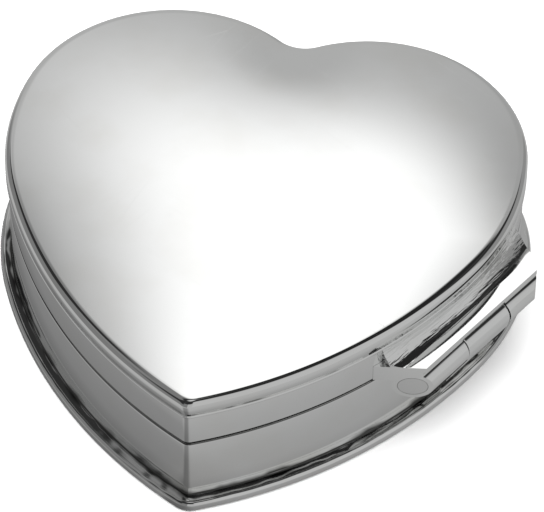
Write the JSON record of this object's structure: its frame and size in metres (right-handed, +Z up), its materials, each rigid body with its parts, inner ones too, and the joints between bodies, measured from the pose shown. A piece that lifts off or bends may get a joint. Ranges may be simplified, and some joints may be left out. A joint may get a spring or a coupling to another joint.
{
  "type": "wind-up music box",
  "caption": "Heart-shaped polished metal music box with a side-hinged domed lid, a pinned-cylinder movement inside and a fold-flat winding key under the floor.",
  "frame": {"origin": "middle of the heart outline, on the plane that the foot ring stands on", "axes": "+Z up through the lid, -Y towards the point of the heart, +X towards the flank with the hinge"},
  "size_m": [0.0815, 0.0792, 0.0229],
  "materials": {
    "case_metal": "mirror-polished silver plate",
    "hinge_pin_metal": "polished, faced off at the ends",
    "plated_inside": "satin plate",
    "velvet": "short-pile velvet over card",
    "bedplate_metal": "yellow passivated casting",
    "brass": "turned and stamped, bright",
    "steel": "fine brushed",
    "lead": "dull",
    "nylon": "moulded nylon",
    "brake_plastic": "moulded, matt"
  },
  "bodies": {
    "base": {"foot_ring": "case_metal", "base_wall": "case_metal", "floor_plate": "plated_inside", "inner_lip": "plated_inside", "base_hinge_block": "case_metal", "divider": "plated_inside", "compartment_pad": "velvet", "bedplate": "bedplate_metal", "movement_screws": "steel", "comb": "steel", "comb_weights": "lead", "comb_screws": "steel", "cylinder_bearing": "bedplate_metal", "governor_bracket": "brass", "governor_screws": "steel", "bridge_posts": "steel", "barrel_bridge": "brass", "bridge_screws": "steel", "spring_housing": "steel", "mainspring": "steel", "lever_post": "steel", "lever_pin": "steel"},
    "lid": {"hinge_pin": "hinge_pin_metal", "lid_top": "case_metal", "lid_wall": "case_metal", "lid_lining": "velvet", "lid_hinge_leaf": "case_metal"},
    "cylinder_assembly": {"cylinder_arbor": "steel", "cylinder": "brass", "cylinder_pins": "steel", "cylinder_pinion": "brass", "cylinder_gear": "brass"},
    "great_wheel_assembly": {"great_wheel": "brass"},
    "winding_assembly": {"winding_arbor": "steel", "key_hub": "brass", "key_pin": "steel", "clutch_spring": "steel"},
    "key": {"key_handle": "brass"},
    "governor_assembly": {"governor_arbor": "steel", "governor_pinion": "nylon", "governor_wheel": "nylon"},
    "air_brake": {"worm": "steel", "fan": "brake_plastic"},
    "stop_lever_assembly": {"stop_lever": "steel"}
  },
  "joints": [
    {"name": "lid_hinge", "type": "hinge", "parent": "base", "child": "lid", "pos_m": [0.0348, -0.00775, 0.0119], "axis": [0.4726, 0.8813, 0], "range_deg": [0, 105]},
    {"name": "cylinder_spin", "type": "hinge", "parent": "base", "child": "cylinder_assembly", "pos_m": [0.0004, 0.0064, 0.013], "axis": [1, 0, 0], "continuous": true},
    {"name": "great_wheel_spin", "type": "hinge", "parent": "base", "child": "great_wheel_assembly", "pos_m": [-0.0092, 0.0064, 0.0094], "axis": [0, 0, 1], "continuous": true},
    {"name": "governor_spin", "type": "hinge", "parent": "base", "child": "governor_assembly", "pos_m": [0.0144, 0.01124, 0.013], "axis": [1, 0, 0], "continuous": true},
    {"name": "air_brake_spin", "type": "hinge", "parent": "base", "child": "air_brake", "pos_m": [0.0155, 0.01423, 0.0144], "axis": [0, 0, 1], "continuous": true},
    {"name": "key_wind", "type": "hinge", "parent": "great_wheel_assembly", "child": "winding_assembly", "pos_m": [-0.0092, 0.0064, 0.0021], "axis": [0, 0, 1], "continuous": true},
    {"name": "key_fold", "type": "hinge", "parent": "winding_assembly", "child": "key", "pos_m": [-0.0092, 0.0064, 0.0021], "axis": [-1, 0, 0], "range_deg": [0, 180]},
    {"name": "stop_lever_lift", "type": "hinge", "parent": "base", "child": "stop_lever_assembly", "pos_m": [0.0155, 0.0228, 0.0183], "axis": [-1, 0, 0], "range_deg": [0, 6.3]}
  ],
  "couplings": [
    {"joint": "great_wheel_spin", "follows": "cylinder_spin", "ratio": 0.33333},
    {"joint": "governor_spin", "follows": "cylinder_spin", "ratio": -3},
    {"joint": "air_brake_spin", "follows": "cylinder_spin", "ratio": 24},
    {"joint": "stop_lever_lift", "follows": "lid_hinge", "ratio": 0.06}
  ]
}
